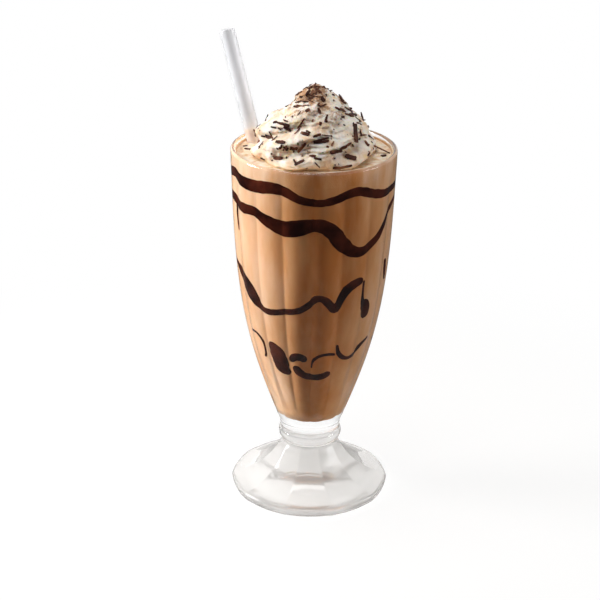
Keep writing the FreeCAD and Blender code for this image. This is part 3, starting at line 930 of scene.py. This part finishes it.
def sliver(length, width, thickness, curl):
    """A thin bent bar of chocolate about its own middle, with uneven sides and broken ends."""
    points, faces = [], []
    sides = len(SLIVER_SECTION)
    count = max(4, round(length / 0.8))
    for step in range(count + 1):
        share = step / count * 2 - 1
        taper = 1 - 0.35 * abs(share) ** 4
        half = width / 2 * taper * chance.uniform(0.85, 1.12)
        deep = thickness / 2 * taper * chance.uniform(0.85, 1.15)
        x = length / 2 * share + (chance.uniform(-0.25, 0.25) if step in (0, count) else 0)
        bend = curl * share ** 2
        for side, up in SLIVER_SECTION:
            y = side * half + chance.uniform(-0.06, 0.06)
            points.append(Vector((x, y, up * deep + bend)))
    for step in range(count):
        near, far = step * sides, (step + 1) * sides
        for side in range(sides):
            following = (side + 1) % sides
            faces.append((near + side, near + following, far + following, far + side))
    faces.append(tuple(range(sides - 1, -1, -1)))
    faces.append(tuple(range(count * sides, (count + 1) * sides)))
    return points, faces


def set_down(bar, place, run, normal, lift=0.0):
    """Adds a sliver to the shavings, with its middle above a place and its length along a run."""
    points, faces = bar
    side = normal.cross(run).normalized()
    face = run.cross(side).normalized()
    start = len(shaving_vertices)
    for point in points:
        shaving_vertices.append(place + run * point.x + side * point.y + face * (point.z + lift))
    shaving_faces.extend(tuple(index + start for index in corners) for corners in faces)


def on_mound(angle, height):
    """A place on the mound and the slope of the cream there, or nothing above its top."""
    outwards = polar(facing(angle), 1, 0)
    return bed.ray_cast(outwards * OUTSIDE + Vector((0, 0, FROTH_LEVEL + height)), -outwards)[:2]


def thickness_of(width):
    return 0.3 + 0.2 * width


def lay(angle, height, slant, length, width, thickness, curl=0.0, tilt=0.0):
    """Lays a sliver on the mound. The angle is degrees to the right of the front, the slant is
    degrees of its right end above level, and the tilt is degrees off the cream."""
    place = on_mound(angle, height)[0]
    if place is None:
        return
    # The slope under the sliver, without the small folds.
    reach = 1.1 + length / 6
    turn = math.degrees(reach / max(4.0, math.hypot(place.x, place.y)))
    near = ((0, 0), (turn, 0), (-turn, 0), (0, reach), (0, -min(reach, height - 0.2)))
    slopes = [on_mound(angle + aside, height + above)[1] for aside, above in near]
    normal = sum((slope for slope in slopes if slope is not None), Vector()).normalized()
    right = polar(math.radians(angle), 1, 0)
    right = (right - normal * right.dot(normal)).normalized()
    up = normal.cross(right).normalized()
    run = (right * math.cos(math.radians(slant)) + up * math.sin(math.radians(slant))).normalized()
    # It lies on the highest places under it, and sinks in a little.
    rises = []
    for share in FEELERS:
        above = place + run * (share * length / 2) + normal * OVERHEAD
        drop = bed.ray_cast(above, -normal, 1.5 * OVERHEAD)[3]
        rises.append(OVERHEAD - drop if drop is not None else -HIGHEST_GAP)
    slope = min(STEEPEST, max(-STEEPEST, (rises[-1] - rises[0]) / (0.9 * length)))
    middle = (rises[-1] + rises[0]) / 2
    gap = max(rise - middle - slope * share * length / 2 for rise, share in zip(rises, FEELERS))
    lift = middle + min(HIGHEST_GAP, gap) - SINK
    run = (run + normal * (slope + math.tan(math.radians(tilt)))).normalized()
    set_down(sliver(length, width, thickness, curl), place, run, normal, thickness * 0.4 + lift)


# The larger shavings: degrees to the right of the front, height on the cream, slant, length, width.
SHAVINGS = (
    (0, 35.6, -45, 3.8, 1.1), (-70, 34.8, 5, 3, 0.5), (-35, 33.6, 80, 3.5, 1.2),
    (-15, 33.4, 75, 3.4, 1), (5, 33.6, -80, 3.2, 0.9), (25, 34.2, -65, 3, 1), (80, 35, -30, 1.6, 1),
    (-55, 31, 8, 2.4, 1.1), (-5, 32.2, -12, 4.6, 0.5), (28, 30.8, -70, 3, 1.8),
    (-78, 28.8, -70, 2.3, 0.6), (-50, 26.6, 12, 4, 1), (-38, 27.6, 8, 4.4, 0.8),
    (-14, 26.8, 40, 2.6, 1.8), (-30, 29.5, 20, 3, 0.5), (-10, 30, -25, 3.2, 0.5),
    (-22, 28.3, -10, 3.5, 0.6), (10, 29.2, 45, 2.4, 0.5), (22, 28.4, 17, 4.5, 0.6),
    (10, 26.4, -75, 3, 1.3), (20, 23.6, 60, 4.6, 1.1), (9, 21.4, 70, 1.8, 1.6),
    (80, 31.5, -20, 2, 1.2), (90, 27.2, -65, 3.3, 1.3), (84, 24, -40, 8.4, 0.9),
    (88, 18.5, -66, 5.6, 1), (56, 22.3, -15, 2.4, 1.1), (78, 21.6, -40, 3.2, 2),
    (51, 16, 71, 9.8, 2.4), (66, 14.2, -50, 4.6, 1.8), (96, 13.6, 0, 2, 1), (84, 10.2, -30, 3, 1.7),
    (84, 5.6, 75, 5.4, 1.8), (76, 8.4, 20, 1.4, 1), (80, 7, -30, 1.2, 0.8), (62, 11.8, 10, 1.4, 1.2),
    (50, 9.6, -65, 2, 0.8), (34, 11.6, 15, 7.6, 1.5), (20, 13, 50, 2.8, 0.9), (14, 16.6, -8, 5, 0.5),
    (8, 14.7, 10, 8.4, 1.1), (8, 13.3, 9, 8, 1.2), (-11, 17, -25, 5.4, 1.8), (-8, 18, -35, 3.4, 1),
    (3, 16.8, 24, 4.2, 1.3), (-24, 17.3, 75, 4.4, 0.6), (-21, 21, 60, 6.4, 0.8),
    (-29, 25.2, 85, 2.8, 0.5), (-64, 19, 14, 3.6, 1.6), (-52, 19.4, 6, 4.6, 1.4),
    (-40, 19.8, -2, 3.4, 1.8), (-49, 17.3, -10, 2.6, 1), (-38, 17.8, -12, 4.2, 1.5),
    (-58, 17.2, 18, 3.4, 0.9), (-46, 21.2, -8, 4.2, 0.7), (-60, 21.4, -18, 2.8, 0.6),
    (-37, 12.6, 0, 6.4, 1.9), (-72, 11.2, 5, 3.4, 1), (-62, 11.8, 12, 3.5, 1.8),
    (-58, 14.2, -55, 3.2, 0.6), (-66, 12.6, 40, 2.2, 0.8), (-49, 13, 50, 4, 0.6),
    (-13, 11.4, 49, 6.4, 1.6), (-20, 10.6, 35, 2.6, 1.3), (22, 9.6, -3, 8, 1.8), (30, 10.2, 5, 6, 0.9),
    (20, 8.6, -6, 3.6, 0.8), (38, 5.6, -40, 6, 2.4), (-1, 7.8, -8, 4, 1.2), (4, 6.7, -12, 4, 1.2),
    (3, 4.2, -47, 4.2, 0.6), (-13, 4.8, 40, 5.4, 1.5), (-18, 4.6, -50, 3, 1), (-38, 4.4, 15, 5, 2),
    (-58, 1.8, -2, 3.8, 0.8), (-68, 6.4, -60, 2.4, 1.8), (22, 1.6, -5, 4.2, 1.7), (29, 2, 4, 7.6, 1.2),
    (66, 1.2, 0, 1.6, 0.5),
)
for angle, height, slant, length, width in SHAVINGS:
    curl, tilt = chance.uniform(-0.1, 0.35), chance.uniform(-7, 7)
    lay(angle, height, slant, length, width, thickness_of(width), curl, tilt)
# Slivers that stick out at the top: the same places, and the degrees they stand off the cream.
CROWN = (
    (-20, 35.9, 40, 4.2, 0.9, 30), (30, 36, -60, 3.6, 0.8, 28), (-75, 35.2, 10, 4, 0.5, 18),
    (70, 35.4, -25, 3.4, 0.9, 22), (-45, 35, 65, 3.4, 1.1, 24), (10, 34.8, 20, 3.8, 0.7, 20),
    (-5, 34, -35, 3, 1.2, 14), (150, 35.6, 30, 3.6, 0.9, 26), (200, 34.8, -40, 3.4, 1, 18),
    (-100, 34, 50, 3, 0.8, 16), (-30, 31.8, -20, 3.6, 0.6, 10), (-18, 31, 30, 3.2, 0.9, 10),
    (-42, 29.6, 10, 3.4, 0.6, 10), (-58, 28.6, 35, 3, 0.7, 10), (-26, 33, 5, 3.6, 0.5, 12),
    (48, 27, -50, 4, 1, 6), (62, 25.5, -45, 4.4, 0.8, 6), (70, 22.5, -35, 5, 0.9, 6),
    (74, 18, -30, 5.4, 0.9, 6), (60, 18.8, 40, 3.2, 0.7, 6), (66, 9, 60, 4.2, 1.2, 4),
    (72, 12.4, -25, 5.6, 0.8, 6), (92, 8, -35, 6, 0.8, 6), (58, 5.2, 20, 3, 0.9, 4),
)
for angle, height, slant, length, width, tilt in CROWN:
    lay(angle, height, slant, length, width, thickness_of(width), tilt=tilt)
# The back, where a third of them are needles.
BACK_SHAVINGS = 74
NEEDLES = 0.35
SCATTERED_TO = 34
for _ in range(BACK_SHAVINGS):
    slender = chance.random() < NEEDLES
    length = chance.uniform(3.5, 8.0) if slender else chance.uniform(2.4, 6.5)
    width = chance.uniform(0.4, 0.8) if slender else chance.uniform(0.9, 2.0)
    height = SCATTERED_TO * chance.random() ** 1.15 + 1.2
    angle, slant = chance.uniform(98, 262), chance.uniform(-80, 80)
    curl, tilt = chance.uniform(-0.1, 0.4), chance.uniform(-9, 9)
    lay(angle, height, slant, length, width, thickness_of(width), curl, tilt)
# Crumbs all over the cream, thickest in a patch on the left of the front.
CRUMBS = 150
PATCH_CRUMBS = 22
for number in range(CRUMBS):
    patch = number < PATCH_CRUMBS
    angle = chance.gauss(-26, 7) if patch else chance.uniform(0, 360)
    height = chance.gauss(10.2, 0.9) if patch else SCATTERED_TO * chance.random() ** 1.1 + 1.0
    size = chance.uniform(0.8, 1.7) if patch else chance.uniform(0.4, 1.2)
    slant = chance.uniform(-90, 90)
    lay(angle, height, slant, size, size * chance.uniform(0.5, 0.9), size * 0.5)
# Those that fell on the froth: degrees to the right of the front, distance from the axis, the way
# they point, length, width, and degrees that they lean up on the glass.
FALLEN = (
    (84, 36.0, 40, 3.2, 1.8, 0), (-97, 34.7, -12, 4.0, 1.2, 0), (-104, 37.0, 30, 2.2, 0.8, 0),
    (92, 32.5, -8, 15.0, 1.0, -24), (150, 36.5, 60, 4.5, 1.1, 0), (196, 37.0, 15, 3.6, 1.5, 0),
    (214, 36.0, -40, 5.0, 0.7, 0),
)
for angle, distance, turn, length, width, lean in FALLEN:
    rise = math.radians(lean)
    level = froth_height(facing(angle), distance) + 0.25 + math.sin(abs(rise)) * length / 2
    run = Matrix.Rotation(math.radians(turn), 3, "Z") @ Vector((math.cos(rise), 0, math.sin(rise)))
    bar = sliver(length, width, thickness_of(width), 0.1)
    set_down(bar, polar(facing(angle), distance, level), run, Vector((0, 0, 1)))

chocolate_finish, tree, surface = new_material("shaved_chocolate")
chocolate_tones = colour_ramp(
    tree, mottle(tree, 130.0, detail=2.0, roughness=0.6),
    (0.38, (0.028, 0.006, 0.003)), (0.53, (0.070, 0.020, 0.010)), (0.66, (0.22, 0.095, 0.050)),
)
feed(
    surface, Base_Color=chocolate_tones, Normal=bumps(tree, mottle(tree, 2000.0), 0.08 * MM, 0.6),
    Roughness=0.55, Specular_IOR_Level=0.12,
)
shavings = piece("chocolate_shavings", shaving_vertices, shaving_faces, chocolate_finish, "chocolate")
shavings.data.polygons.foreach_set("use_smooth", [False] * len(shavings.data.polygons))

# ---------------------------------------------------------------- the table, the light and the camera
# A plain pale floor that fades into a white surround, one large soft lamp from the left, weak ones
# from above and from the right, and a camera that looks down a little from the front.
FLOOR_HALF = 1.5
FLOOR_GAP = 0.0002
FLOOR_LIFT = 0.80
FLOOR_MIRRORED = 0.06
WHITE_FROM = 0.12
WHITE_TO = 0.34
AMBIENT = 0.06


def seen_directly(tree, mirrored):
    """1 for rays from the camera, also by way of glass, and 0 for those that light a surface.
    Rays that only mirror off a surface count as the share given."""
    rays = tree.nodes.new("ShaderNodeLightPath").outputs
    mirror = sum_of(tree, "MULTIPLY", rays["Is Glossy Ray"], mirrored)
    glass_or_mirror = sum_of(tree, "MAXIMUM", mirror, rays["Is Transmission Ray"])
    any_of_them = sum_of(tree, "MAXIMUM", rays["Is Camera Ray"], glass_or_mirror)
    first = sum_of(tree, "LESS_THAN", rays["Diffuse Depth"], 0.5)
    return sum_of(tree, "MULTIPLY", any_of_them, first)


floor_mesh = bpy.data.meshes.new("pale_floor")
corners = [(x * FLOOR_HALF, y * FLOOR_HALF, 0) for x, y in ((-1, -1), (1, -1), (1, 1), (-1, 1))]
floor_mesh.from_pydata(corners, [], [(0, 1, 2, 3)])
floor = bpy.data.objects.new("pale_floor", floor_mesh)
bpy.context.scene.collection.objects.link(floor)
floor.location.z = -FLOOR_GAP
floor_finish, tree, surface = new_material("pale_floor")
seen = seen_directly(tree, FLOOR_MIRRORED)
feed(
    surface, Base_Color=(0.22, 0.217, 0.212, 1), Roughness=0.8, Specular_IOR_Level=0.0,
    Emission_Color=(1, 1, 1, 1), Emission_Strength=sum_of(tree, "MULTIPLY", seen, FLOOR_LIFT),
)
far_white = tree.nodes.new("ShaderNodeEmission")
feed(far_white, Strength=seen)
distance = tree.nodes.new("ShaderNodeVectorMath")
distance.operation = "LENGTH"
plug(distance.inputs[0], coordinate(tree))
fading = levels(tree, distance.outputs["Value"], WHITE_FROM, WHITE_TO, curve="SMOOTHSTEP")
mixed_shaders(tree, fading, surface, far_white)
floor_mesh.materials.append(floor_finish)

world = bpy.data.worlds.new("studio")
bpy.context.scene.world = world
world.use_nodes = True
tree = world.node_tree
seen = seen_directly(tree, 1.0)
feed(
    tree.nodes["Background"], Color=colour_mix(tree, seen, (1.0, 0.9, 0.8), (1.0, 1.0, 1.0)),
    Strength=levels(tree, seen, 0.0, 1.0, AMBIENT, 1.0),
)


def soft_lamp(name, place, target, width, height, watts):
    """A rectangular lamp that faces a point. Glass mirrors it, but it isn't seen through glass."""
    lamp = bpy.data.lights.new(name, "AREA")
    lamp.shape = "RECTANGLE"
    lamp.size = width
    lamp.size_y = height
    lamp.energy = watts
    held = bpy.data.objects.new(name, lamp)
    held.location = place
    held.rotation_euler = (Vector(target) - Vector(place)).to_track_quat("-Z", "Y").to_euler()
    held.visible_transmission = False
    held.visible_camera = False
    bpy.context.scene.collection.objects.link(held)


soft_lamp("window_lamp", (-0.93, 0.02, 0.43), (0, 0, 0.12), width=0.35, height=0.6, watts=11.2)
soft_lamp("top_lamp", (-0.15, -0.05, 1.10), (0, 0, 0.15), width=0.6, height=0.6, watts=5.5)
soft_lamp("fill_lamp", (0.93, -0.12, 0.36), (0, 0, 0.12), width=0.4, height=0.5, watts=3.2)

CAMERA_PLACE = Vector((0.0, -0.8293, 0.4662))
CAMERA_TARGET = Vector((-0.0063, 0.0, 0.1094))
CAMERA_ROLL = math.radians(0.69)
camera_data = bpy.data.cameras.new("camera")
camera_data.sensor_width = 36.0
camera_data.lens = 100.9
camera = bpy.data.objects.new("camera", camera_data)
camera.location = CAMERA_PLACE
upright = (CAMERA_TARGET - CAMERA_PLACE).to_track_quat("-Z", "Y").to_matrix()
camera.rotation_euler = (upright @ Matrix.Rotation(CAMERA_ROLL, 3, "Z")).to_euler()
bpy.context.scene.collection.objects.link(camera)
bpy.context.scene.camera = camera
bpy.context.scene.view_settings.view_transform = "Standard"
